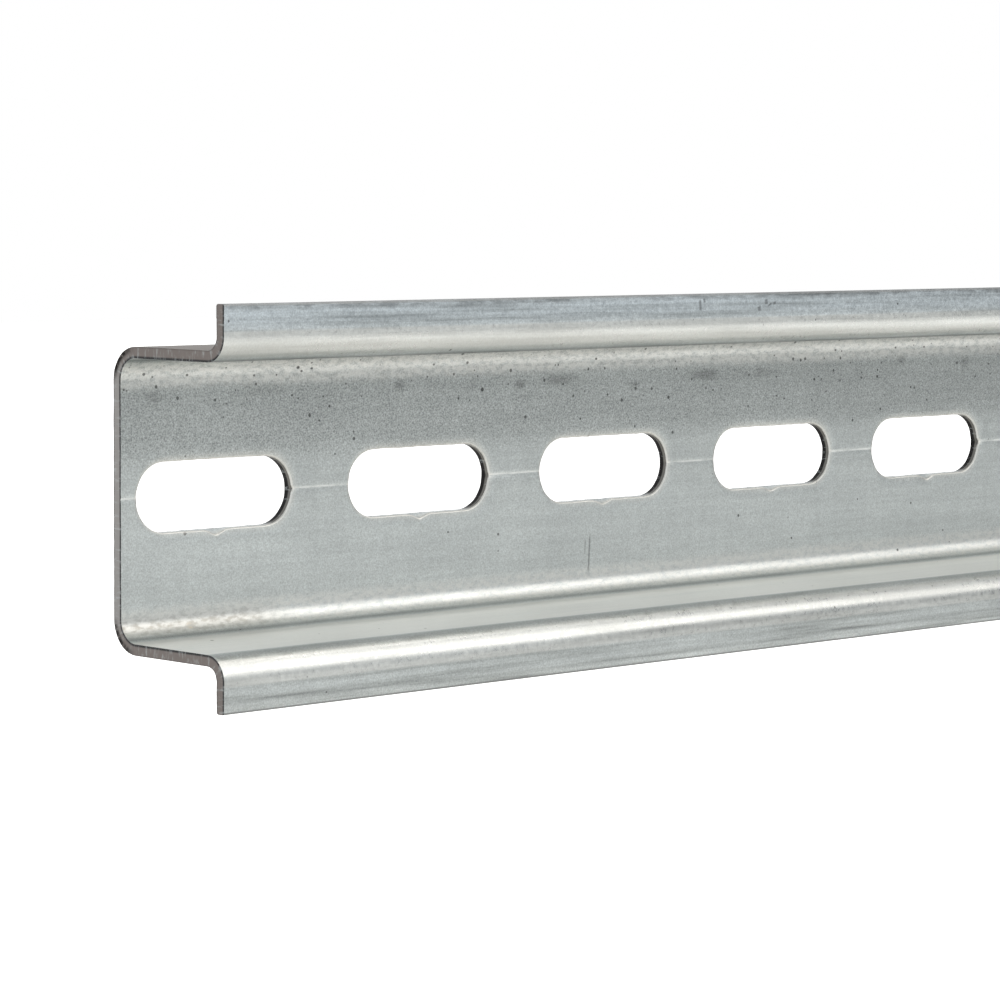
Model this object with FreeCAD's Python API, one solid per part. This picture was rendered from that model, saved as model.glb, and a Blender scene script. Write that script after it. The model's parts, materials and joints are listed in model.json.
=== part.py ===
"""Slotted top-hat mounting rail, 35 mm wide and 15 mm deep, folded from one steel strip.

The rail runs along X. Its web is the back wall, in the plane Y = 0, and lies flat
against the panel that carries it. The two flanges come forward from the web, and
their edges turn out into the pair of lips that devices clip on to. The open side
looks along -Y, and Z runs across the rail. All sizes are in millimetres.
"""
import FreeCAD
import Part
import math
import os

# Folded section
rail_length = 250.0      # stock cut to ten slots
rail_width = 35.0        # over the free edges of the two lips
rail_depth = 15.0        # from the back of the web to the front of the lips
channel_width = 27.0     # over the outsides of the two flanges
sheet = 1.0              # thickness of the strip
web_bend_radius = 2.0    # inside radius of the two folds at the web
lip_bend_radius = 1.2    # inside radius of the two folds at the lips
edge_radius = 0.2        # slit edges of the strip, worn round by the rolls

# Scored line along the middle of the web
score_width = 0.4
score_depth = 0.06

# Row of fixing slots, punched from the open side
slot_length = 18.0       # end to end
slot_width = 6.3
slot_pitch = 25.0
first_margin = 1.8       # near end of the rail to the first slot
least_margin = 1.0       # metal kept between the last slot and the far end
punch_roll = 0.14        # rounded-over rim where the punch went in

# Centre nick on the rim of each slot, in the middle of its lower side
nick_width = 2.5
nick_depth = 0.5

web_front = -sheet
slot_room = rail_length - first_margin - slot_length - least_margin
slot_count = int(slot_room // slot_pitch) + 1


def rounded_wire(corners):
    """Closed wire in the YZ plane through (y, z, radius) corners, with an arc at each radius."""
    points = [FreeCAD.Vector(0, y, z) for y, z, _ in corners]
    edges = []
    starts = []
    ends = []
    for i, (_, _, radius) in enumerate(corners):
        corner = points[i]
        before = (points[i - 1] - corner).normalize()
        after = (points[(i + 1) % len(points)] - corner).normalize()
        if radius <= 0:
            starts.append(corner)
            ends.append(corner)
            continue
        half_angle = before.getAngle(after) / 2
        reach = radius / math.tan(half_angle)
        start = corner + before * reach
        end = corner + after * reach
        middle = corner + (before + after).normalize() * (radius / math.sin(half_angle) - radius)
        edges.append(Part.Arc(start, middle, end).toShape())
        starts.append(start)
        ends.append(end)
    for i in range(len(points)):
        edges.append(Part.makeLine(ends[i], starts[(i + 1) % len(points)]))
    return Part.Wire(Part.__sortEdges__(edges))


def half_section():
    """Corners of one half, from the back of the web out to the lip and in again to the score line."""
    flange_out = channel_width / 2
    flange_in = flange_out - sheet
    lip_front = -rail_depth
    lip_back = lip_front + sheet
    lip_edge = rail_width / 2
    return [
        (0, flange_out, web_bend_radius + sheet),
        (lip_back, flange_out, lip_bend_radius),
        (lip_back, lip_edge, edge_radius),
        (lip_front, lip_edge, edge_radius),
        (lip_front, flange_in, lip_bend_radius + sheet),
        (web_front, flange_in, web_bend_radius),
        (web_front, score_width / 2, 0),
    ]


def folded_strip():
    """The strip as it leaves the rolls, cut square to length and centred on X."""
    upper = half_section()
    score_floor = (web_front + score_depth, 0, 0)
    lower = [(y, -z, radius) for y, z, radius in reversed(upper)]
    section = Part.Face(rounded_wire(upper + [score_floor] + lower))
    section.translate(FreeCAD.Vector(-rail_length / 2, 0, 0))
    return section.extrude(FreeCAD.Vector(rail_length, 0, 0))


def slot_wire(length, width, y):
    """Round-ended outline in a plane across Y, centred on the Y axis."""
    radius = width / 2
    straight = length / 2 - radius
    top_left = FreeCAD.Vector(-straight, y, radius)
    top_right = FreeCAD.Vector(straight, y, radius)
    low_right = FreeCAD.Vector(straight, y, -radius)
    low_left = FreeCAD.Vector(-straight, y, -radius)
    right_end = Part.Arc(top_right, FreeCAD.Vector(length / 2, y, 0), low_right)
    left_end = Part.Arc(low_left, FreeCAD.Vector(-length / 2, y, 0), top_left)
    return Part.Wire([
        Part.makeLine(top_left, top_right),
        right_end.toShape(),
        Part.makeLine(low_right, low_left),
        left_end.toShape(),
    ])


def slot_punch():
    """What one slot takes out of the web: the straight hole, its rolled-over rim and the nick."""
    clear = sheet
    through = Part.Face(slot_wire(slot_length, slot_width, clear))
    hole = through.extrude(FreeCAD.Vector(0, web_front - 2 * clear, 0))
    rim = Part.makeLoft([
        slot_wire(slot_length + 4 * punch_roll, slot_width + 4 * punch_roll, web_front - punch_roll),
        slot_wire(slot_length, slot_width, web_front + punch_roll),
    ], True, True)
    return hole.fuse([rim, centre_nick()])


def centre_nick():
    """Wedge that runs out from the back edge of the slot's lower wall to a V on the front rim."""
    wall = -slot_width / 2
    bite = slot_width / 4
    front = [
        FreeCAD.Vector(-nick_width / 2, web_front, wall),
        FreeCAD.Vector(0, web_front, wall - nick_depth),
        FreeCAD.Vector(nick_width / 2, web_front, wall),
        FreeCAD.Vector(nick_width / 2, web_front, wall + bite),
        FreeCAD.Vector(-nick_width / 2, web_front, wall + bite),
    ]
    tip = FreeCAD.Vector(0, 0, wall)
    above = FreeCAD.Vector(0, 0, wall + bite)
    faces = [Part.Face(Part.makePolygon(front + [front[0]]))]
    loop = [
        (front[0], front[1], tip),
        (front[1], front[2], tip),
        (front[2], front[3], above, tip),
        (front[3], front[4], above),
        (front[4], front[0], tip, above),
    ]
    for corners in loop:
        faces.append(Part.Face(Part.makePolygon(list(corners) + [corners[0]])))
    return Part.makeSolid(Part.makeShell(faces))


def slotted_rail():
    """The folded strip with its row of slots."""
    first_centre = -rail_length / 2 + first_margin + slot_length / 2
    punch = slot_punch()
    punches = []
    for i in range(slot_count):
        copy = punch.copy()
        copy.translate(FreeCAD.Vector(first_centre + i * slot_pitch, 0, 0))
        punches.append(copy)
    return folded_strip().cut(punches)


def main():
    os.makedirs("parts", exist_ok=True)
    rail = slotted_rail().removeSplitter().Solids[0]
    rail.exportStep("parts/rail.step")


main()
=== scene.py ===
import json
import math

import bpy
from mathutils import Matrix, Vector

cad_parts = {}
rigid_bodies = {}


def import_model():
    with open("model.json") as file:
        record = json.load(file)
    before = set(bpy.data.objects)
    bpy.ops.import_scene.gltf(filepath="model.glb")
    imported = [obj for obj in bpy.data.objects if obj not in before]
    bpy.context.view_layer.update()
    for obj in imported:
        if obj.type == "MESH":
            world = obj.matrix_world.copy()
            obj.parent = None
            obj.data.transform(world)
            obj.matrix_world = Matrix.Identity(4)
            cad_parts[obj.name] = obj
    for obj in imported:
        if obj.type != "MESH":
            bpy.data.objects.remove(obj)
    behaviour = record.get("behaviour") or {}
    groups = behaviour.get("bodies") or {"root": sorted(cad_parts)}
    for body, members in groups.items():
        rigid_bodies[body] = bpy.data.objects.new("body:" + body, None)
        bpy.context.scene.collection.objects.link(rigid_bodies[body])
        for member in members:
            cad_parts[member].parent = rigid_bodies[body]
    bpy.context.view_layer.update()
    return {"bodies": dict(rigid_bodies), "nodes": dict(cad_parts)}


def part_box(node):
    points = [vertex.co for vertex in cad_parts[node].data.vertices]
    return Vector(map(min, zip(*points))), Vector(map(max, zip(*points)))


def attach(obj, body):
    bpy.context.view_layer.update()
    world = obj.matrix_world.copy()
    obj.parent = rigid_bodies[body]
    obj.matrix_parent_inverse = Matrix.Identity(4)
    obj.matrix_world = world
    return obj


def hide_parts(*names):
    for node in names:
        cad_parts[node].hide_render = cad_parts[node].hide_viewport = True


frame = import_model()

bl_info = {
    "name": "Slotted Mounting Rail",
    "version": (1, 0, 0),
    "blender": (4, 5, 0),
    "location": "View3D > Sidebar > Rail",
    "description": "Folds a slotted zinc-plated mounting rail from its strip and sets up its studio",
    "category": "Mesh",
}

rail_low, rail_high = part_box("rail")
MM = 0.001


def mm(*lengths):
    """Lengths given in millimetres, in metres."""
    return tuple(length * MM for length in lengths)


# Grid of one slot cell: steps along its sides, and rows from the front edge of the cell,
# over the punched rim and down the slot's wall, to the back edge of the cell
CELL_STEPS_ALONG = 30
CELL_STEPS_ACROSS = 32
FRONT_ROWS = 5
ROLL_ROWS = 3
WALL_ROWS = 4
BACK_ROWS = 4
CELL_GRADING = 1.6
CELL_HALF_HEIGHT = 8.0 * MM

# Grid of one folded side: steps on web, first fold, flange, second fold, lip, and round the edge
SIDE_STEPS = (2, 10, 4, 10, 3)
EDGE_STEPS = (3, 2, 3)
END_LAYERS = 4
MERGE_DISTANCE = 0.002 * MM
SHARP_ANGLE = math.radians(38.0)

# Unevenness that punching and shearing leave
NICK_SHIFT = 0.25 * MM
NICK_SPREAD = 0.12
KINK_REACH = 0.4 * MM
KINK_DEPTH = 0.16 * MM
KINK_SPREAD = 0.10 * MM
RIM_WAVE = 0.14 * MM
SHEAR_REACH = 0.3 * MM
SHEAR_DEPTH = 0.10 * MM


class RailSizes(bpy.types.PropertyGroup):
    """Sizes of the folded and punched strip."""

    length: bpy.props.FloatProperty(
        name="Length", description="Length of the rail, a whole number of slot pitches",
        default=rail_high.x - rail_low.x, min=0.05, unit="LENGTH")
    width: bpy.props.FloatProperty(
        name="Width", description="Width over the free edges of the two lips",
        default=rail_high.z - rail_low.z, min=0.03, unit="LENGTH")
    depth: bpy.props.FloatProperty(
        name="Depth", description="From the back of the web to the front of the lips",
        default=rail_high.y - rail_low.y, min=0.007, unit="LENGTH")
    channel: bpy.props.FloatProperty(
        name="Channel width", description="Width over the outsides of the two flanges",
        default=27.0 * MM, min=0.02, unit="LENGTH")
    sheet: bpy.props.FloatProperty(
        name="Sheet", description="Thickness of the strip",
        default=1.0 * MM, min=0.0005, unit="LENGTH")
    web_bend: bpy.props.FloatProperty(
        name="Web bend radius", description="Inside radius of the two folds at the web",
        default=2.0 * MM, min=0.0003, unit="LENGTH")
    lip_bend: bpy.props.FloatProperty(
        name="Lip bend radius", description="Inside radius of the two folds at the lips",
        default=1.2 * MM, min=0.0003, unit="LENGTH")
    edge: bpy.props.FloatProperty(
        name="Edge radius", description="Radius that the rolls leave on the slit edges",
        default=0.2 * MM, min=0.00005, unit="LENGTH")
    slot_length: bpy.props.FloatProperty(
        name="Slot length", description="Length of a fixing slot, end to end",
        default=18.0 * MM, min=0.005, unit="LENGTH")
    slot_width: bpy.props.FloatProperty(
        name="Slot width", description="Width of a fixing slot",
        default=6.3 * MM, min=0.002, unit="LENGTH")
    pitch: bpy.props.FloatProperty(
        name="Slot pitch", description="Distance from one slot's middle to the next",
        default=25.0 * MM, min=0.01, unit="LENGTH")
    margin: bpy.props.FloatProperty(
        name="First margin", description="From the near end of the rail to the first slot",
        default=1.8 * MM, min=0.0005, unit="LENGTH")
    roll: bpy.props.FloatProperty(
        name="Punch roll", description="Radius of the rim that the punch pulls down",
        default=0.14 * MM, min=0.00002, unit="LENGTH")
    nick_width: bpy.props.FloatProperty(
        name="Nick width", description="Width of the nick in the middle of each slot's lower rim",
        default=2.5 * MM, min=0.0, unit="LENGTH")
    nick_depth: bpy.props.FloatProperty(
        name="Nick depth", description="Depth of that nick at the front of the sheet",
        default=0.5 * MM, min=0.0, unit="LENGTH")
    score_width: bpy.props.FloatProperty(
        name="Score width", description="Width of the scored line along the middle of the web",
        default=0.4 * MM, min=0.0, unit="LENGTH")
    score_depth: bpy.props.FloatProperty(
        name="Score depth", description="Depth of the scored line",
        default=0.06 * MM, min=0.0, unit="LENGTH")
    seed: bpy.props.IntProperty(
        name="Seed", description="Picks the small unevenness of the slots", default=7, min=0)


class RailFinish(bpy.types.PropertyGroup):
    """Colours and gloss of the zinc-plated steel."""

    zinc: bpy.props.FloatVectorProperty(
        name="Zinc", description="Colour of the plated sheet",
        default=(0.60, 0.64, 0.64), size=3, min=0.0, max=1.0, subtype="COLOR")
    zinc_dark: bpy.props.FloatVectorProperty(
        name="Dull zinc", description="Colour of the duller clouds and rolling streaks",
        default=(0.44, 0.47, 0.475), size=3, min=0.0, max=1.0, subtype="COLOR")
    # Painted highlight as well as burnish: this colour brightens the folds and flanges
    burnish_and_highlight: bpy.props.FloatVectorProperty(
        name="Rubbed zinc", description="Colour of the plating that the rolls have burnished",
        default=(0.78, 0.785, 0.76), size=3, min=0.0, max=1.0, subtype="COLOR")
    steel: bpy.props.FloatVectorProperty(
        name="Cut steel", description="Colour of the bare sheared ends",
        default=(0.20, 0.178, 0.168), size=3, min=0.0, max=1.0, subtype="COLOR")
    # Also the colour of painted shade: the dark lines where folds end and the score line's groove
    grime_and_shade: bpy.props.FloatVectorProperty(
        name="Grime", description="Colour of the dark specks and smudges",
        default=(0.05, 0.05, 0.052), size=3, min=0.0, max=1.0, subtype="COLOR")
    roughness: bpy.props.FloatProperty(
        name="Roughness", description="Roughness of the plated sheet",
        default=0.44, min=0.0, max=1.0, subtype="FACTOR")


class StudioLook(bpy.types.PropertyGroup):
    """Floor, lights and camera."""

    floor_drop: bpy.props.FloatProperty(
        name="Floor drop", description="Height of the rail's middle above the floor",
        default=0.25, min=0.02, unit="LENGTH")
    floor_colour: bpy.props.FloatVectorProperty(
        name="Floor", description="Colour of the pale floor",
        default=(0.80, 0.785, 0.75), size=3, min=0.0, max=1.0, subtype="COLOR")
    floor_glow: bpy.props.FloatProperty(
        name="Floor glow", description="How far the floor near the rail is lifted to white",
        default=0.43, min=0.0, max=1.0)
    room_level: bpy.props.FloatProperty(
        name="Room level", description="Brightness of the room in front of the rail",
        default=0.68, min=0.0, max=2.0)
    key_power: bpy.props.FloatProperty(
        name="Key light", description="Power of the large soft light in front of the far end",
        default=5.0, min=0.0, unit="POWER")
    key_colour: bpy.props.FloatVectorProperty(
        name="Key colour", description="Colour of the key light",
        default=(1.0, 0.935, 0.865), size=3, min=0.0, max=1.0, subtype="COLOR")
    top_power: bpy.props.FloatProperty(
        name="Top light", description="Power of the soft light overhead",
        default=4.5, min=0.0, unit="POWER")
    fill_power: bpy.props.FloatProperty(
        name="Fill light", description="Power of the soft light above the near end",
        default=3.0, min=0.0, unit="POWER")
    lens: bpy.props.FloatProperty(
        name="Lens", description="Focal length of the camera",
        default=132.25 * MM, min=0.01, unit="LENGTH")


class Value:
    """A socket of a node tree. Python's operators on it add Math nodes."""

    def __init__(self, graph, socket):
        self.graph = graph
        self.socket = socket

    def math(self, operation, *others):
        return self.graph.add("ShaderNodeMath", {"operation": operation}, [self, *others])

    def other(self, name):
        """Another output of the same node."""
        return Value(self.graph, self.socket.node.outputs[name])

    def __add__(self, other):
        return self.math("ADD", other)

    def __radd__(self, other):
        return self.graph.add("ShaderNodeMath", {"operation": "ADD"}, [other, self])

    def __sub__(self, other):
        return self.math("SUBTRACT", other)

    def __rsub__(self, other):
        return self.graph.add("ShaderNodeMath", {"operation": "SUBTRACT"}, [other, self])

    def __mul__(self, other):
        return self.math("MULTIPLY", other)

    def __rmul__(self, other):
        return self.graph.add("ShaderNodeMath", {"operation": "MULTIPLY"}, [other, self])

    def __truediv__(self, other):
        return self.math("DIVIDE", other)

    def __rtruediv__(self, other):
        return self.graph.add("ShaderNodeMath", {"operation": "DIVIDE"}, [other, self])

    def __pow__(self, other):
        return self.math("POWER", other)

    def __neg__(self):
        return self.math("MULTIPLY", -1.0)

    def __abs__(self):
        return self.math("ABSOLUTE")

    def __lt__(self, other):
        return self.math("LESS_THAN", other)

    def __gt__(self, other):
        return self.math("GREATER_THAN", other)

    def least(self, other):
        return self.math("MINIMUM", other)

    def most(self, other):
        return self.math("MAXIMUM", other)

    def clamp(self, low=0.0, high=1.0):
        return self.most(low).least(high)

    def rise(self, start, end):
        """0 before start, 1 after end, and smooth between them."""
        return self.graph.add(
            "ShaderNodeMapRange", {"interpolation_type": "SMOOTHSTEP"},
            {"Value": self, "From Min": start, "From Max": end})

    def bump(self, middle, reach):
        """1 at middle, falling in straight lines to 0 at reach on both sides."""
        return (1.0 - abs(self - middle) / reach).most(0.0)


class Graph:
    """Adds nodes to a tree: one method for every kind."""

    def __init__(self, tree):
        self.tree = tree
        tree.nodes.clear()

    def add(self, kind, settings=None, values=None, out=0):
        node = self.tree.nodes.new(kind)
        for name, setting in (settings or {}).items():
            setattr(node, name, setting)
        pairs = values.items() if isinstance(values, dict) else enumerate(values or [])
        for name, value in pairs:
            self.put(node.inputs[name], value)
        return Value(self, node.outputs[out]) if len(node.outputs) else node

    def put(self, socket, value):
        if isinstance(value, Value):
            self.tree.links.new(value.socket, socket)
        elif isinstance(value, list):
            for item in value:
                self.put(socket, item)
        else:
            socket.default_value = value

    def vector(self, x=0.0, y=0.0, z=0.0):
        return self.add("ShaderNodeCombineXYZ", {}, {"X": x, "Y": y, "Z": z})

    def parts(self, vector):
        x = self.add("ShaderNodeSeparateXYZ", {}, {"Vector": vector})
        return x, x.other("Y"), x.other("Z")

    def noise(self, place, scale=1.0, detail=2.0, roughness=0.5):
        return self.add(
            "ShaderNodeTexNoise", {"noise_dimensions": "3D"},
            {"Vector": place, "Scale": scale, "Detail": detail, "Roughness": roughness})

    def mix(self, factor, first, second, blend="MIX"):
        return self.add(
            "ShaderNodeMix", {"data_type": "RGBA", "blend_type": blend},
            {0: factor, 6: first, 7: second}, out=2)


# The rail's shape

class RailTree(Graph):
    """Geometry Nodes tree that lays the strip flat, punches its slots and folds it.

    On the flat strip a point stands at (x, -n, s): x along the rail, s across the strip
    from its middle line, and n out of the sheet's middle plane towards the open side.
    """

    LENGTHS = ("length", "width", "depth", "channel", "sheet", "web_bend", "lip_bend",
               "edge", "slot_length", "slot_width", "pitch", "margin", "roll",
               "nick_width", "nick_depth", "score_width", "score_depth")

    def __init__(self, sizes):
        self.cells = round(sizes.length / sizes.pitch)
        tree = bpy.data.node_groups.new("Folded Rail", "GeometryNodeTree")
        super().__init__(tree)
        tree.interface.new_socket("Geometry", in_out="OUTPUT", socket_type="NodeSocketGeometry")
        for name in self.LENGTHS:
            tree.interface.new_socket(
                name.replace("_", " ").capitalize(), in_out="INPUT",
                socket_type="NodeSocketFloat")
        tree.interface.new_socket("Slots", in_out="INPUT", socket_type="NodeSocketInt")
        tree.interface.new_socket("Seed", in_out="INPUT", socket_type="NodeSocketInt")
        tree.interface.new_socket("Finish", in_out="INPUT", socket_type="NodeSocketMaterial")
        group = self.add("NodeGroupInput")
        self.size = {
            name: group.other(name.replace("_", " ").capitalize()) for name in self.LENGTHS}
        self.slots = group.other("Slots")
        self.seed = group.other("Seed")
        self.finish = group.other("Finish")
        self.half_sheet = self.size["sheet"] * 0.5
        self.half_length = self.size["length"] * 0.5

        # Ends of the web, the folds and the flange on the flat strip, at its middle plane
        self.first_radius = self.size["web_bend"] + self.half_sheet
        self.second_radius = self.size["lip_bend"] + self.half_sheet
        flange_middle = self.size["channel"] * 0.5 - self.half_sheet
        self.web_end = flange_middle - self.first_radius
        self.flange_start = self.web_end + self.first_radius * (math.pi / 2)
        folds = self.first_radius + self.second_radius + self.size["sheet"]
        self.flange_length = self.size["depth"] - folds
        self.flange_end = self.flange_start + self.flange_length
        self.lip_start = self.flange_end + self.second_radius * (math.pi / 2)
        self.lip_length = self.size["width"] * 0.5 - flange_middle - self.second_radius

    def counters(self, across, along):
        """A grid, and the two counters that number its vertices from 0."""
        grid = self.add("GeometryNodeMeshGrid", {}, {
            "Size X": float(across), "Size Y": float(along),
            "Vertices X": across + 1, "Vertices Y": along + 1})
        x, y, _ = self.parts(self.add("GeometryNodeInputPosition"))
        return grid, x + across / 2, y + along / 2

    def place(self, mesh, x, s, n):
        """Puts a mesh's vertices on the flat strip."""
        return self.add("GeometryNodeSetPosition", {}, {
            "Geometry": mesh, "Position": self.vector(x, -n, s)})

    def mark(self, mesh, name, value, domain="FACE", kind="FLOAT"):
        return self.add(
            "GeometryNodeStoreNamedAttribute", {"data_type": kind, "domain": domain},
            {"Geometry": mesh, "Name": name, "Value": value})

    def join(self, *meshes):
        return self.add("GeometryNodeJoinGeometry", {}, {"Geometry": list(meshes)})

    def mirrored(self, mesh, scale):
        """The mesh and its mirror image, with the image's faces turned back outwards."""
        image = self.add("GeometryNodeTransform", {}, {"Geometry": mesh, "Scale": scale})
        return self.join(mesh, self.add("GeometryNodeFlipFaces", {}, {"Mesh": image}))

    def graded(self, up):
        """Height on the side of a cell for a counter that runs from 0 to 1."""
        signed = up * 2.0 - 1.0
        return CELL_HALF_HEIGHT * signed.math("SIGN") * abs(signed) ** CELL_GRADING

    def slot_cell(self):
        """One pitch of the web with its slot: a single grid bent round the slot's rim."""
        along, across = CELL_STEPS_ALONG, CELL_STEPS_ACROSS
        around = 2 * (along + across)
        rows = FRONT_ROWS + ROLL_ROWS + WALL_ROWS + BACK_ROWS
        grid, i, j = self.counters(around, rows)

        # Point on the cell's outer side
        cell_start = -(self.size["slot_length"] * 0.5 + self.size["margin"])
        right = (i / along).clamp() - ((i - along - across) / along).clamp()
        up = ((i - along) / across).clamp() - ((i - 2 * along - across) / across).clamp()
        side_x = cell_start + self.size["pitch"] * right
        side_s = self.graded(up)
        reach = (side_x * side_x + side_s * side_s).math("SQRT")
        cosine = side_x / reach
        sine = side_s / reach

        # Rows over the rim and down the wall
        turn = ((j - FRONT_ROWS) / ROLL_ROWS).clamp() * (math.pi / 2)
        down = ((j - FRONT_ROWS - ROLL_ROWS) / WALL_ROWS).clamp()
        back = ((j - FRONT_ROWS - ROLL_ROWS - WALL_ROWS) / BACK_ROWS).clamp()
        away = (1.0 - j / FRONT_ROWS).most(0.0) + back
        roll = self.size["roll"]
        offset = roll * (1.0 - turn.math("SINE"))
        n = self.half_sheet - roll * (1.0 - turn.math("COSINE"))
        n = n - down * (self.size["sheet"] - roll)

        # Point on the slot's outline, in the same direction from its middle
        radius = self.size["slot_width"] * 0.5 + offset
        half_run = (self.size["slot_length"] - self.size["slot_width"]) * 0.5
        straight = radius / abs(sine).most(1e-6)
        on_straight = straight * abs(cosine) < half_run
        bulge = (radius * radius - half_run * half_run * sine * sine).most(0.0)
        round_end = half_run * abs(cosine) + bulge.math("SQRT")
        slot_reach = straight.least(1.0) * on_straight + round_end * (1.0 - on_straight)
        x = slot_reach * cosine * (1.0 - away) + side_x * away
        s = slot_reach * sine * (1.0 - away) + side_s * away

        first_wall = FRONT_ROWS + ROLL_ROWS
        last_wall = FRONT_ROWS + ROLL_ROWS + WALL_ROWS
        mesh = self.mark(grid, "slot_wall", (j > first_wall) * (j < last_wall))
        mesh = self.mark(mesh, "slot_rim", (j > FRONT_ROWS + 0.2) * (j < first_wall + 0.2))
        mesh = self.mark(mesh, "rim", 1.0 - away, "POINT")
        mesh = self.place(mesh, x, s, n)
        return self.add("GeometryNodeMergeByDistance", {}, {
            "Geometry": mesh, "Distance": MERGE_DISTANCE})

    def web(self):
        """The cell repeated for every slot of the row."""
        first = self.size["slot_length"] * 0.5 + self.size["margin"] - self.half_length
        line = self.add("GeometryNodeMeshLine", {"mode": "OFFSET"}, {
            "Count": self.slots, "Start Location": self.vector(first),
            "Offset": self.vector(self.size["pitch"])})
        row = self.add("GeometryNodeInstanceOnPoints", {}, {
            "Points": line, "Instance": self.slot_cell()})
        return self.add("GeometryNodeRealizeInstances", {}, {"Geometry": row})

    def side_profile(self, p):
        """Place across the strip and through it for a counter that goes from the web's
        front, over the slit edge, to the web's back."""
        run = sum(SIDE_STEPS)
        edge_run = sum(EDGE_STEPS)
        k = p.least(2 * run + edge_run - p)
        ends = (self.web_end, self.flange_start, self.flange_end, self.lip_start,
                self.lip_start + self.lip_length - self.size["edge"])
        s = CELL_HALF_HEIGHT
        start = CELL_HALF_HEIGHT
        done = 0
        for steps, end in zip(SIDE_STEPS, ends):
            s = s + (end - start) * ((k - done) / steps).clamp()
            start = end
            done += steps
        edge = self.size["edge"]
        first, middle, last = EDGE_STEPS
        turn_in = ((p - run) / first).clamp() * (math.pi / 2)
        cross = ((p - run - first) / middle).clamp()
        turn_out = ((p - run - first - middle) / last).clamp() * (math.pi / 2)
        s = s + edge * turn_in.math("SINE") - edge * (1.0 - turn_out.math("COSINE"))
        n = self.half_sheet - edge * (1.0 - turn_in.math("COSINE"))
        n = n - cross * (self.size["sheet"] - edge * 2.0) - edge * turn_out.math("SINE")
        return s, n

    def sides(self):
        """The two folded sides, whole length, front and back."""
        along = CELL_STEPS_ALONG * self.cells
        around = 2 * sum(SIDE_STEPS) + sum(EDGE_STEPS)
        grid, i, p = self.counters(along, around)
        s, n = self.side_profile(p)
        x = self.size["length"] * (i / along) - self.half_length
        first_edge = sum(SIDE_STEPS) + 0.2
        last_edge = sum(SIDE_STEPS) + sum(EDGE_STEPS)
        mesh = self.mark(grid, "slit_edge", (p > first_edge) * (p < last_edge))
        return self.mirrored(self.place(mesh, x, s, n), (1.0, 1.0, -1.0))

    def ends(self):
        """The cut faces at the two ends."""
        columns = sum(SIDE_STEPS) + sum(EDGE_STEPS) // 2
        grid, p, r = self.counters(columns, END_LAYERS)
        s, n = self.side_profile(p)
        side = self.place(grid, -self.half_length, s, n * (1.0 - r * (2.0 / END_LAYERS)))
        side = self.mirrored(side, (1.0, 1.0, -1.0))
        grid, c, r = self.counters(CELL_STEPS_ACROSS, END_LAYERS)
        across = self.graded(c / CELL_STEPS_ACROSS)
        n = self.half_sheet * (1.0 - r * (2.0 / END_LAYERS))
        end = self.join(self.place(grid, -self.half_length, across, n), side)
        end = self.mark(end, "cut_end", 1.0)
        return self.mirrored(end, (-1.0, 1.0, 1.0))

    def flat_place(self):
        x, depth, s = self.parts(self.add("GeometryNodeInputPosition"))
        return x, s, -depth

    def named(self, name):
        return self.add("GeometryNodeInputNamedAttribute", {"data_type": "FLOAT"}, {"Name": name})

    def worked(self, mesh):
        """Score line, nicks and the small unevenness that punching and shearing leave."""
        x, s, n = self.flat_place()
        rim = self.named("rim")
        on_rim = rim > 0.99
        number = ((x + self.half_length) / self.size["pitch"]).math("FLOOR")
        middle = (number * self.size["pitch"] + self.size["slot_length"] * 0.5
                  + self.size["margin"] - self.half_length)
        slot_x = x - middle
        mesh = self.mark(mesh, "slot_x", slot_x, "POINT")
        chance = self.add("FunctionNodeRandomValue", {"data_type": "FLOAT"}, {
            "Min": -1.0, "Max": 1.0, "ID": number, "Seed": self.seed}, out=1)
        frontness = ((n + self.half_sheet) / self.size["sheet"]).clamp()

        # Nick, pressed into the front rim and gone at the back
        nick = slot_x.bump(chance * NICK_SHIFT, self.size["nick_width"] * 0.5)
        nick = nick * self.size["nick_depth"] * (1.0 + chance * NICK_SPREAD)
        drop = nick * on_rim * frontness * (s < 0.0)

        # Kink where the score line runs into the slot's far end
        kink = abs(s).bump(0.0, KINK_REACH) * on_rim * (slot_x > 0.0)
        kink = kink * frontness * (KINK_DEPTH + KINK_SPREAD * chance)

        # Wavy rim
        place = self.vector(x, n * 0.5, s)
        wave = self.noise(place, 900.0, 1.0) - 0.5
        away_x = slot_x.math("SIGN") * (abs(slot_x) - 5.0 * MM).rise(0.0, 3.0 * MM)
        wobble = wave * rim * RIM_WAVE
        dx = wobble * away_x + kink
        ds = wobble * s.math("SIGN") * (1.0 - abs(away_x)) - drop

        # Score line
        steady = self.noise(self.vector(x, 0.0, 0.0), 260.0, 2.0).rise(0.25, 0.75)
        groove = abs(s).bump(0.0, self.size["score_width"] * 0.5).least(0.7) / 0.7
        on_front = n > (self.half_sheet - 0.02 * MM)
        dn = -1.0 * groove * self.size["score_depth"] * (0.45 + 0.55 * steady) * on_front

        # Sheared ends
        end = abs(x).rise(self.half_length - SHEAR_REACH, self.half_length)
        ragged = self.noise(self.vector(x, n, s), 1400.0, 2.0) * SHEAR_DEPTH
        dx = dx - x.math("SIGN") * end * ragged
        return self.add("GeometryNodeSetPosition", {}, {
            "Geometry": mesh, "Offset": self.vector(dx, -1.0 * dn, ds)})

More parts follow.
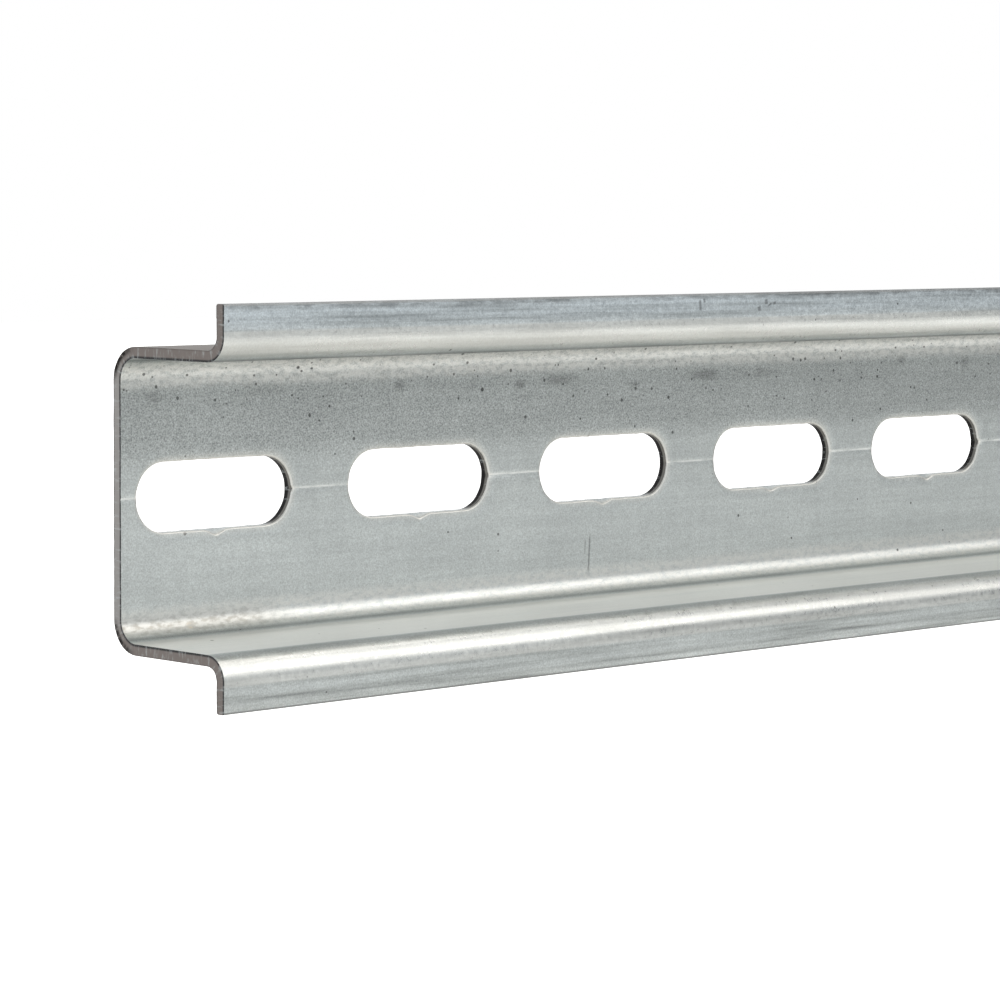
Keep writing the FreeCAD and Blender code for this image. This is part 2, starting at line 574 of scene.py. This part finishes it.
    def folded(self, mesh):
        """Bends the flat strip into the hat section, with its flat place kept for the finish."""
        x, s, n = self.flat_place()
        mesh = self.mark(mesh, "strip_place", self.vector(x, s, n), "POINT", "FLOAT_VECTOR")
        side = s.math("SIGN")
        out = abs(s)
        quarter = math.pi / 2
        first = ((out - self.web_end) / self.first_radius).clamp(0.0, quarter)
        second = ((out - self.flange_end) / self.second_radius).clamp(0.0, quarter)
        lean = first - second
        z = (out.least(self.web_end) + self.first_radius * first.math("SINE")
             + self.second_radius * (1.0 - second.math("COSINE"))
             + (out - self.lip_start).most(0.0))
        forward = (self.half_sheet + self.first_radius * (1.0 - first.math("COSINE"))
                   + (out - self.flange_start).most(0.0).least(self.flange_length)
                   + self.second_radius * second.math("SINE"))
        z = z - n * lean.math("SINE")
        forward = forward + n * lean.math("COSINE")
        return self.add("GeometryNodeSetPosition", {}, {
            "Geometry": mesh, "Position": self.vector(x, -forward, side * z)})

    def build(self):
        mesh = self.join(self.web(), self.sides(), self.ends())
        mesh = self.add("GeometryNodeMergeByDistance", {}, {
            "Geometry": mesh, "Distance": MERGE_DISTANCE})
        mesh = self.folded(self.worked(mesh))
        mesh = self.add("GeometryNodeSetShadeSmooth", {"domain": "FACE"}, {
            "Geometry": mesh, "Shade Smooth": True})
        angle = self.add("GeometryNodeInputMeshEdgeAngle")
        mesh = self.add("GeometryNodeSetShadeSmooth", {"domain": "EDGE"}, {
            "Geometry": mesh, "Selection": angle > SHARP_ANGLE, "Shade Smooth": False})
        mesh = self.add("GeometryNodeRealizeInstances", {}, {"Geometry": mesh})
        mesh = self.add("GeometryNodeSetMaterial", {}, {
            "Geometry": mesh, "Material": self.finish})
        self.add("NodeGroupOutput", {}, {"Geometry": mesh})
        return self.tree


def plain_mesh(holder):
    """The evaluated object's mesh, without its modifier."""
    graph = bpy.context.evaluated_depsgraph_get()
    mesh = bpy.data.meshes.new_from_object(
        holder.evaluated_get(graph), preserve_all_data_layers=True, depsgraph=graph)
    holder.modifiers.clear()
    return mesh


# The rail's finish

# Marks on the open side of the flat strip
SMUDGES = (  # along the rail, up from its middle line, half length
    mm(-91.8, 9.0, 0.9), mm(-76.1, 8.6, 1.0), mm(-70.7, 9.0, 3.2),
    mm(-49.7, 8.8, 2.8), mm(-18.6, 9.5, 0.9), mm(-7.7, 8.9, 1.0))
SMUDGE_HALF_HEIGHT = 0.75 * MM
WEB_SCRATCHES = (  # one end, other end, half width, strength
    (mm(-66.20, -6.3), mm(-66.45, -10.6), 0.16 * MM, 0.45),
    (mm(-66.85, -6.9), mm(-66.95, -8.6), 0.12 * MM, 0.30))
LIP_TICKS = (  # along the rail, upper end, lower end, half width
    mm(-65.76, 29.2, 28.0, 0.22), mm(-65.2, 29.3, 28.8, 0.2), mm(-57.3, 28.4, 27.9, 0.3),
    mm(-56.3, 29.1, 28.5, 0.3), mm(-55.8, 28.6, 28.4, 0.4), mm(-55.1, 28.8, 28.5, 0.3))
TICK_LEAN = 0.1 * MM
TICK_STRENGTH = 0.5
RUST_SPOT = mm(-117.4, -11.9)
RUST_REACH = mm(0.15, 0.55)


class ZincTree(Graph):
    """Zinc-plated sheet with rolling streaks, specks, a scored line, bare cut edges and painted
    light and shade.
    """

    # Across the strip from its middle line, which folds at 10.5 to 14.4 and 24.2 to 26.9 mm
    UPPER_HALF = mm(0.0, 1.0)
    UNDER_FLANGE_SHADE = mm(1.0, 4.0)
    LOWER_WEB = mm(-4.0, 1.0)
    UPPER_WEB = mm(1.0, 5.0, 12.5, 14.0)
    SPECK_BAND = mm(5.5, 8.0)
    SMEAR_ROW = mm(6.6, 7.8, 9.6, 10.8)
    WEB_FOLD = mm(9.3, 10.3, 12.5, 13.1)
    WEB_FOLD_SHADE = mm(13.2, 0.5)
    DULL_ROW = mm(11.6, 1.7)
    FLANGE = mm(13.4, 14.2, 23.8, 24.4)
    LIP_FOLD_SHADE = mm(24.55, 0.55)
    LIP_FOLD = mm(24.9, 25.5, 27.2, 27.5)
    LIP = mm(23.0, 27.0)
    COOL_LIP = mm(26.4, 28.4)
    EDGE_ROW = mm(28.9, 29.5)
    SCORE_GROOVE = mm(-0.14, 0.16)
    SCORE_RIDGE = mm(0.07, 0.16)
    END_WEB = mm(10.0, 13.0)
    END_CORNER = mm(12.3, 2.4)
    TARNISHED = mm(11.0, 14.0)

    # Along the rail from its middle, and along a slot from the slot's middle
    DULL_RUN = mm(-112.0, -104.0)
    TARNISH_RUN = mm(104.0, 120.0)
    END_RUN = mm(124.2, 124.9)
    WALL_END = mm(5.2, 7.4)

    # Through the sheet from its middle plane
    OPEN_SIDE = mm(-0.1, 0.1)
    OUTER_SIDE = mm(-0.49, -0.30)
    WALL_FOOT = mm(-0.47, -0.40)
    CORNER_BACK = mm(-0.3, 0.1)
    SHEAR_MIDDLE = -0.06 * MM
    SHEAR_RIMS = mm(0.30, 0.44)

    # Colours
    LIP_COOL = (0.985, 1.02, 1.075)
    DULL = (0.40, 0.39, 0.36)
    RUST = (0.50, 0.40, 0.24)
    RIDGE_HIGHLIGHT = (0.88, 0.90, 0.89)
    WEB_STEEL = (0.30, 0.29, 0.285)
    SLIT_STEEL = (0.22, 0.23, 0.235)
    WALL_FRACTURE_SHADE = (0.022, 0.022, 0.022)
    CORNER_BURR_SHADE = (0.012, 0.011, 0.010)
    RIM_HALO_HIGHLIGHT = (0.74, 0.72, 0.67)
    ROLLED_RIM_HIGHLIGHT = (0.80, 0.79, 0.76)

    def __init__(self, look):
        self.look = look
        self.material = bpy.data.materials.new("Zinc Plate")
        self.material.use_nodes = True
        super().__init__(self.material.node_tree)
        place = self.add("ShaderNodeAttribute", {"attribute_name": "strip_place"}, out="Vector")
        self.x, self.s, self.n = self.parts(place)
        self.out = abs(self.s)
        self.front = self.n.rise(*self.OPEN_SIDE)
        self.lip = self.out.rise(*self.LIP)
        self.upper_half = self.s.rise(*self.UPPER_HALF)
        self.upper_web = self.between(self.s, *self.UPPER_WEB) * self.front

    def mask(self, name):
        return self.add("ShaderNodeAttribute", {"attribute_name": name}, out="Fac")

    def field(self, scale, detail, roughness=0.6, along=1.0, across=1.0, through=1.0):
        """Noise fixed to the strip, stretched where a factor is below 1."""
        place = self.vector(self.x * along, self.s * across, self.n * through)
        return self.noise(place, scale, detail, roughness)

    def along_field(self, scale, detail, roughness=0.6, row=0.0):
        """Noise that changes only along the rail."""
        return self.noise(self.vector(self.x, row, 0.0), scale, detail, roughness)

    @staticmethod
    def between(value, start, full, fade, end):
        """1 from full to fade, with soft borders out to start and end."""
        return value.rise(start, full) * (1.0 - value.rise(fade, end))

    def tint(self, factor, colour, blend="MIX"):
        """Mixes one more colour over what is there."""
        self.colour = self.mix(factor, self.colour, (*colour, 1.0), blend)

    def dots(self, scale, share, size, shift=0.0):
        """Small round specks: one in some of the cells of a grid, each of its own size."""
        cell = self.add("ShaderNodeTexVoronoi", {"feature": "F1"}, {
            "Vector": self.vector(self.x, self.s, self.n + shift), "Scale": scale})
        chance, spread, _ = self.parts(cell.other("Color"))
        reach = size * (0.4 + 0.6 * spread)
        return (1.0 - cell.rise(reach * 0.6, reach)) * (chance < share)

    def scratch(self, start, end, half_width):
        """Thin straight mark between two points of the strip, soft at its ends."""
        run = math.dist(start, end)
        along_x = (end[0] - start[0]) / run
        along_s = (end[1] - start[1]) / run
        dx = self.x - start[0]
        ds = self.s - start[1]
        along = dx * along_x + ds * along_s
        across = abs(ds * along_x - dx * along_s)
        inside = along.rise(0.0, run * 0.2) * (1.0 - along.rise(run * 0.8, run))
        return (1.0 - across.rise(half_width * 0.4, half_width)) * inside

    def plating(self):
        """Fine graininess, roll streaks, soft clouds, faint marks across, and painted shade and
        bounce light.
        """
        look = self.look
        fine = self.field(6500.0, 1.0)
        self.coarse = self.field(2600.0, 2.0)
        self.streak = self.field(1700.0, 3.0, along=0.03)
        self.cloud = self.field(170.0, 3.0, 0.55, along=0.4)
        self.cross = self.field(700.0, 2.0, 0.5, across=0.04)
        dull = (0.5 + (self.cloud - 0.5) * 0.9 + (self.cross - 0.5) * 0.35
                + (self.streak - 0.5) * (0.8 + 2.2 * self.lip))
        self.colour = self.mix(dull.clamp(), (*look.zinc, 1.0), (*look.zinc_dark, 1.0))

        # Grainier upper web in painted shade, darker lower lip, streaked lips, lower web paler from
        # painted bounce light
        lip_face = self.lip * self.front
        bounce_lit_web = 1.0 - self.s.rise(*self.LOWER_WEB)
        grain_and_painted_light = (1.0 + (fine - 0.5) * (0.7 + 0.9 * self.upper_web)
                 + (self.coarse - 0.5) * 0.3)
        # Painted shade: the upper web darkened where its flange would shade it; the lower lip darker
        # too
        grain_and_painted_light = grain_and_painted_light * (1.0 - 0.20 * self.upper_web * self.s.rise(*self.UNDER_FLANGE_SHADE)
                         - 0.16 * lip_face * (1.0 - 0.8 * self.upper_half))
        grain_and_painted_light = grain_and_painted_light * (1.0 + (self.streak - 0.5) * 2.2 * lip_face)
        # Painted bounce light: the lower web lifted as if lit from the lower flange
        grain_and_painted_light = grain_and_painted_light * (1.0 + 0.06 * self.front * bounce_lit_web)
        self.colour = self.mix(1.0, self.colour, self.vector(grain_and_painted_light, grain_and_painted_light, grain_and_painted_light), "MULTIPLY")
        self.tint(lip_face * self.s.rise(*self.COOL_LIP), self.LIP_COOL, "MULTIPLY")

    def folds(self):
        """Brighter folds and flanges, partly burnished zinc and partly painted highlight, with a
        line of painted shade where a fold ends.
        """
        out = self.out + (self.coarse - 0.5) * 0.5 * MM + (self.cloud - 0.5) * 0.4 * MM
        self.web_fold = self.between(out, *self.WEB_FOLD)
        self.lip_fold = self.between(self.out, *self.LIP_FOLD)
        flange = self.between(self.out, *self.FLANGE)
        self.mottle = self.field(1900.0, 2.0, along=0.6).rise(0.34, 0.60)
        flange_patches = self.noise(
            self.vector(self.x * 0.05, self.s, self.n + 0.02), 500.0, 3.0, 0.6)
        # Brighter folds and flanges: burnished zinc with a painted highlight
        burnish_and_highlight = (self.web_fold * (0.35 + 0.65 * self.mottle)).most(
            self.lip_fold * (0.7 + 0.3 * self.streak))
        burnish_and_highlight = (burnish_and_highlight * 0.6).most((flange * (0.5 + 0.9 * flange_patches)).clamp()) * self.front
        self.tint(burnish_and_highlight, self.look.burnish_and_highlight)
        # Painted shade: dark lines where the folds turn away, in the grime colour
        lip_fold_shade = self.out.bump(*self.LIP_FOLD_SHADE) * (0.35 + 0.65 * self.upper_half)
        web_fold_shade = self.out.bump(*self.WEB_FOLD_SHADE) * 0.5
        self.tint(lip_fold_shade.most(web_fold_shade) * self.front * 0.8, self.look.grime_and_shade)
        edge_row = self.s.rise(*self.EDGE_ROW) * self.front
        edge_smear = self.field(1300.0, 3.0, along=0.3).rise(0.40, 0.62)
        self.tint(edge_row * (0.15 + 0.4 * edge_smear), self.look.grime_and_shade)

    def specks(self):
        """Specks and smudges, most of them on the upper half of the web."""
        band = self.s.rise(*self.SPECK_BAND) * self.upper_web
        large = self.dots(330.0, 0.10 + 0.25 * self.upper_web + 0.3 * band, 0.10)
        tiny = self.dots(900.0, 0.05 + 0.22 * self.upper_web + 0.65 * band, 0.20, 0.01)
        smear = self.field(420.0, 3.0, 0.65, along=0.35, across=1.2).rise(0.56, 0.72)
        smear_row = self.between(self.s, *self.SMEAR_ROW) * self.front
        patches = self.along_field(60.0, 1.0, 0.5).rise(0.42, 0.60)
        self.dirt = (large * 0.8).most(tiny * 0.7).most(smear * smear_row * patches * 0.3)
        shade = self.front * (0.05 + 0.30 * self.streak + 0.20 * self.coarse)
        for along, up, half_length in SMUDGES:
            aside = (self.x - along) / half_length
            above = (self.s - up) / SMUDGE_HALF_HEIGHT
            reach = (aside * aside + above * above).math("SQRT")
            self.dirt = self.dirt.most((1.0 - reach.rise(0.2, 1.1)) * shade)
        self.tint(self.dirt.clamp(0.0, 0.85), self.look.grime_and_shade)

    def single_marks(self):
        """Dull stretch of the lower fold near the end, scratches, ticks and a rusty spot."""
        near = 1.0 - self.x.rise(*self.DULL_RUN)
        stretch = near * (-self.s).bump(*self.DULL_ROW) * self.front
        self.tint(stretch * (1.0 - 0.6 * self.mottle), self.DULL)
        marks = 0.0 * self.x
        for start, end, half_width, strength in WEB_SCRATCHES:
            marks = marks.most(strength * self.scratch(start, end, half_width))
        for along, top, low, half_width in LIP_TICKS:
            tick = self.scratch((along, top), (along + TICK_LEAN, low), half_width)
            marks = marks.most(TICK_STRENGTH * tick)
        self.tint(marks * self.front, self.look.grime_and_shade)
        dx = self.x - RUST_SPOT[0]
        ds = self.s - RUST_SPOT[1]
        spot = 1.0 - (dx * dx + ds * ds).math("SQRT").rise(*RUST_REACH)
        self.tint(spot * self.mottle * self.front * 0.6, self.RUST)

    def score_line(self):
        """The scored line: painted shade in its groove and a painted highlight on its pushed-up
        upper side.
        """
        line = self.s + (self.along_field(500.0, 2.0) - 0.5) * 0.10 * MM
        strength = self.along_field(420.0, 2.0, row=3.0).rise(0.30, 0.62) * self.front
        # Painted shade in the groove, painted highlight on the ridge above it
        self.tint(line.bump(*self.SCORE_GROOVE) * strength * 0.12, self.look.grime_and_shade)
        self.tint(line.bump(*self.SCORE_RIDGE) * strength * 0.7, self.RIDGE_HIGHLIGHT)

    def bare_steel(self):
        """Sheared ends, slit edges, the slots' walls and rims with their painted shade and
        highlights, and the tarnished near end.
        """
        look = self.look
        torn = self.field(2600.0, 3.0, 0.65, through=0.3)
        self.tint(self.mask("slit_edge") * 0.75, self.SLIT_STEEL)
        rimmed = abs(self.n - self.SHEAR_MIDDLE).rise(*self.SHEAR_RIMS)
        steel = self.mix(
            self.out.rise(*self.END_WEB), (*self.WEB_STEEL, 1.0), (*look.steel, 1.0))
        steel = self.mix(rimmed, steel, (*look.grime_and_shade, 1.0))
        steel = self.mix(torn.rise(0.50, 0.72) * 0.5, steel, (*look.zinc_dark, 1.0))
        self.cut_end = self.mask("cut_end")
        self.colour = self.mix(self.cut_end, self.colour, steel)

        # Slots: far walls of sheared steel in painted shade, a dark foot, and a rim with painted
        # highlights
        wall = self.mask("slot_wall")
        self.wall_end = wall * abs(self.mask("slot_x")).rise(*self.WALL_END)
        # Painted shade: the slots' far walls made near-black over their sheared steel
        wall_shade = self.mix(
            torn.rise(0.56, 0.70) * 0.5, (*self.WALL_FRACTURE_SHADE, 1.0), (*look.zinc_dark, 1.0))
        self.colour = self.mix(self.wall_end, self.colour, wall_shade)
        self.tint(wall * (1.0 - self.n.rise(*self.WALL_FOOT)) * 0.85, look.grime_and_shade)
        # Painted highlights: a faint halo round each slot and a bright line on the rolled rim
        self.tint(self.mask("rim").rise(0.88, 1.0) * self.front * 0.25, self.RIM_HALO_HIGHLIGHT)
        self.tint(self.mask("slot_rim") * 0.6, self.ROLLED_RIM_HIGHLIGHT)

        # Outsides of the flanges near the end, and the dark corners of the cut ends: shear burrs in
        # painted shade
        outside = 1.0 - self.n.rise(*self.OUTER_SIDE)
        self.tarnish = outside * self.out.rise(*self.TARNISHED) * (1.0 - self.lip)
        self.tarnish = self.tarnish * (-self.x).rise(*self.TARNISH_RUN)
        self.tint(self.tarnish * 0.85, look.steel)
        corner = self.out.bump(*self.END_CORNER).rise(0.1, 0.7)
        corner = corner * (1.0 - self.n.rise(*self.CORNER_BACK))
        corner = corner * abs(self.x).rise(*self.END_RUN)
        # Painted shade over a shear burr at the corners of the cut ends
        self.tint(corner * torn.rise(0.3, 0.5), self.CORNER_BURR_SHADE)

    def gloss(self):
        """Roughness, relief and the shader."""
        folds = self.web_fold.most(self.lip_fold)
        roughness = (self.look.roughness + (self.cloud - 0.5) * 0.2
                     + (self.coarse - 0.5) * 0.4 + 0.25 * self.dirt)
        roughness = (roughness - 0.10 * folds + 0.06 * self.web_fold).clamp(0.18, 0.8)
        roughness = roughness.most(0.62 * self.cut_end.most(self.wall_end))
        roughness = roughness.most(self.tarnish * 0.8)
        height = self.coarse * 0.6 + self.streak * (0.4 + 0.4 * self.lip) + self.cross * 0.4
        bump = self.add("ShaderNodeBump", {}, {
            "Strength": 0.35, "Distance": 0.03 * MM, "Height": height})
        shader = self.add("ShaderNodeBsdfPrincipled", {}, {
            "Base Color": self.colour, "Metallic": 1.0, "Roughness": roughness,
            "Normal": bump})
        self.add("ShaderNodeOutputMaterial", {}, {"Surface": shader})

    def build(self):
        self.plating()
        self.folds()
        self.specks()
        self.single_marks()
        self.score_line()
        self.bare_steel()
        self.gloss()
        return self.material


class RAIL_OT_fold(bpy.types.Operator):
    """Fold the slotted rail from its strip and give it its zinc finish"""

    bl_idname = "rail.fold"
    bl_label = "Fold Rail"

    def execute(self, context):
        sizes = context.scene.rail_sizes
        if sizes.length < sizes.pitch:
            raise ValueError("The rail is shorter than one slot pitch")
        tree = RailTree(sizes).build()
        holder = bpy.data.objects.new("rail_sheet", bpy.data.meshes.new("rail_sheet"))
        context.scene.collection.objects.link(holder)
        modifier = holder.modifiers.new("Fold", "NODES")
        modifier.node_group = tree
        values = {name.replace("_", " ").capitalize(): getattr(sizes, name)
                  for name in RailTree.LENGTHS}
        values["Slots"] = round(sizes.length / sizes.pitch)
        values["Seed"] = sizes.seed
        values["Finish"] = ZincTree(context.scene.rail_finish).build()
        for item in tree.interface.items_tree:
            if item.in_out == "INPUT":
                modifier[item.identifier] = values[item.name]
        holder.data = plain_mesh(holder)
        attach(holder, "root")
        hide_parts("rail")
        return {"FINISHED"}


# Floor, lights and camera

FLOOR_HALF = 6.0
KEY_PLACE, KEY_SIZE = (0.82, -1.00, 0.84), (1.1, 0.95)
TOP_PLACE, TOP_SIZE = (0.15, -0.20, 0.90), (1.0, 0.6)
FILL_PLACE, FILL_SIZE = (-0.85, -0.35, 0.8), (0.8, 0.8)
CAMERA_PLACE = (-0.32472, -0.25325, 0.02686)
CAMERA_TURN, CAMERA_TILT, CAMERA_ROLL = 0.773, -0.083, 0.006
WHITE = (1.0, 1.0, 1.0, 1.0)
ROOM_COOL = (0.97, 1.0, 1.02, 1.0)


def floor_material(look):
    """Pale floor, lit in front of the rail and running into the white background behind."""
    material = bpy.data.materials.new("Pale Floor")
    material.use_nodes = True
    g = Graph(material.node_tree)
    ray = g.add("ShaderNodeLightPath")
    x, y, _ = g.parts(g.add("ShaderNodeTexCoord", out="Object"))
    distance = (x * x + y * y).math("SQRT")
    behind = y.rise(0.1, 0.7)
    shown = ray.most(ray.other("Is Transmission Ray"))
    mirrored = ray.other("Is Glossy Ray")
    near_glow = look.floor_glow * distance.rise(0.30, 0.60) * (1.0 - distance.rise(1.5, 2.4))
    strength = (shown * behind.most(distance.rise(0.5, 1.2)).most(look.floor_glow)
                + mirrored * behind.most(near_glow))
    pale = g.add("ShaderNodeBsdfDiffuse", {}, {"Color": (*look.floor_colour, 1.0)})
    glow = g.add("ShaderNodeEmission", {}, {"Color": WHITE, "Strength": strength})
    both = g.add("ShaderNodeAddShader", {}, [pale, glow])
    g.add("ShaderNodeOutputMaterial", {}, {"Surface": both})
    return material


def build_world(look):
    """White background behind the rail, and a grey room in front, darker overhead and at
    the far end."""
    world = bpy.data.worlds.new("Studio Room")
    bpy.context.scene.world = world
    world.use_nodes = True
    g = Graph(world.node_tree)
    ray = g.add("ShaderNodeLightPath")
    x, y, z = g.parts(g.add("ShaderNodeTexCoord"))
    behind = y.rise(0.1, 0.5)
    walls = z.rise(-0.05, 0.2) * (1.0 - z.rise(0.5, 0.85))
    shown = ray.most(ray.other("Is Transmission Ray"))
    seen = shown.most(ray.other("Is Glossy Ray") * behind)
    level = look.room_level * (0.75 + 0.55 * walls) * (1.0 - 0.72 * x.rise(0.60, 0.92))
    strength = level * (1.0 - seen) + seen
    background = g.add("ShaderNodeBackground", {}, {
        "Color": g.mix(seen, ROOM_COOL, WHITE),
        "Strength": strength})
    g.add("ShaderNodeOutputWorld", {}, {"Surface": background})


def area_light(name, place, size, power, colour=(1.0, 1.0, 1.0)):
    """Soft rectangular light, turned towards the middle of the rail."""
    data = bpy.data.lights.new(name, "AREA")
    data.shape = "RECTANGLE"
    data.size, data.size_y = size
    data.energy = power
    data.color = colour
    light = bpy.data.objects.new(name, data)
    bpy.context.scene.collection.objects.link(light)
    light.location = place
    light.rotation_euler = (-Vector(place)).to_track_quat("-Z", "Y").to_euler()


def build_camera(look):
    """Camera at the photograph's viewpoint, turned towards the far end of the rail."""
    data = bpy.data.cameras.new("Camera")
    data.sensor_width = 36.0
    data.lens = look.lens / MM
    data.clip_start, data.clip_end = 0.01, 50.0
    camera = bpy.data.objects.new("Camera", data)
    bpy.context.scene.collection.objects.link(camera)
    turn = Matrix.Rotation(-CAMERA_TURN, 4, "Z")
    tilt = Matrix.Rotation(math.pi / 2 + CAMERA_TILT, 4, "X")
    roll = Matrix.Rotation(CAMERA_ROLL, 4, "Z")
    camera.matrix_world = Matrix.Translation(CAMERA_PLACE) @ turn @ tilt @ roll
    bpy.context.scene.camera = camera


class RAIL_OT_stage(bpy.types.Operator):
    """Set up the pale floor, the soft studio light and the camera"""

    bl_idname = "rail.stage"
    bl_label = "Build Stage"

    def execute(self, context):
        look = context.scene.rail_studio
        context.scene.view_settings.view_transform = "Standard"
        half = FLOOR_HALF
        corners = [(-half, -half), (half, -half), (half, half), (-half, half)]
        mesh = bpy.data.meshes.new("floor")
        mesh.from_pydata([(x, y, -look.floor_drop) for x, y in corners], [], [(0, 1, 2, 3)])
        mesh.materials.append(floor_material(look))
        floor = bpy.data.objects.new("floor", mesh)
        context.scene.collection.objects.link(floor)
        build_world(look)
        area_light("Key Light", KEY_PLACE, KEY_SIZE, look.key_power, look.key_colour)
        area_light("Top Light", TOP_PLACE, TOP_SIZE, look.top_power, look.key_colour)
        area_light("Fill Light", FILL_PLACE, FILL_SIZE, look.fill_power)
        build_camera(look)
        return {"FINISHED"}


class RAIL_PT_panel(bpy.types.Panel):
    """Lists the rail's sizes, finish and studio, and the buttons that build them"""

    bl_label = "Mounting Rail"
    bl_idname = "RAIL_PT_panel"
    bl_space_type = "VIEW_3D"
    bl_region_type = "UI"
    bl_category = "Rail"

    def draw(self, context):
        layout = self.layout
        for group in (context.scene.rail_sizes, context.scene.rail_finish,
                      context.scene.rail_studio):
            box = layout.box()
            for name in group.__annotations__:
                box.prop(group, name)
        layout.operator(RAIL_OT_fold.bl_idname)
        layout.operator(RAIL_OT_stage.bl_idname)


CLASSES = (RailSizes, RailFinish, StudioLook, RAIL_OT_fold, RAIL_OT_stage, RAIL_PT_panel)


def register():
    for cls in CLASSES:
        bpy.utils.register_class(cls)
    bpy.types.Scene.rail_sizes = bpy.props.PointerProperty(type=RailSizes)
    bpy.types.Scene.rail_finish = bpy.props.PointerProperty(type=RailFinish)
    bpy.types.Scene.rail_studio = bpy.props.PointerProperty(type=StudioLook)


def unregister():
    del bpy.types.Scene.rail_studio
    del bpy.types.Scene.rail_finish
    del bpy.types.Scene.rail_sizes
    for cls in reversed(CLASSES):
        bpy.utils.unregister_class(cls)


def clear_defaults():
    """Removes what a new file holds beside the frame."""
    kept = set(frame["nodes"].values()) | set(frame["bodies"].values())
    for thing in list(bpy.context.scene.objects):
        if thing not in kept:
            bpy.data.objects.remove(thing)


def main():
    register()
    clear_defaults()
    bpy.ops.rail.fold()
    bpy.ops.rail.stage()
    bpy.context.view_layer.update()


if __name__ == "__main__":
    main()
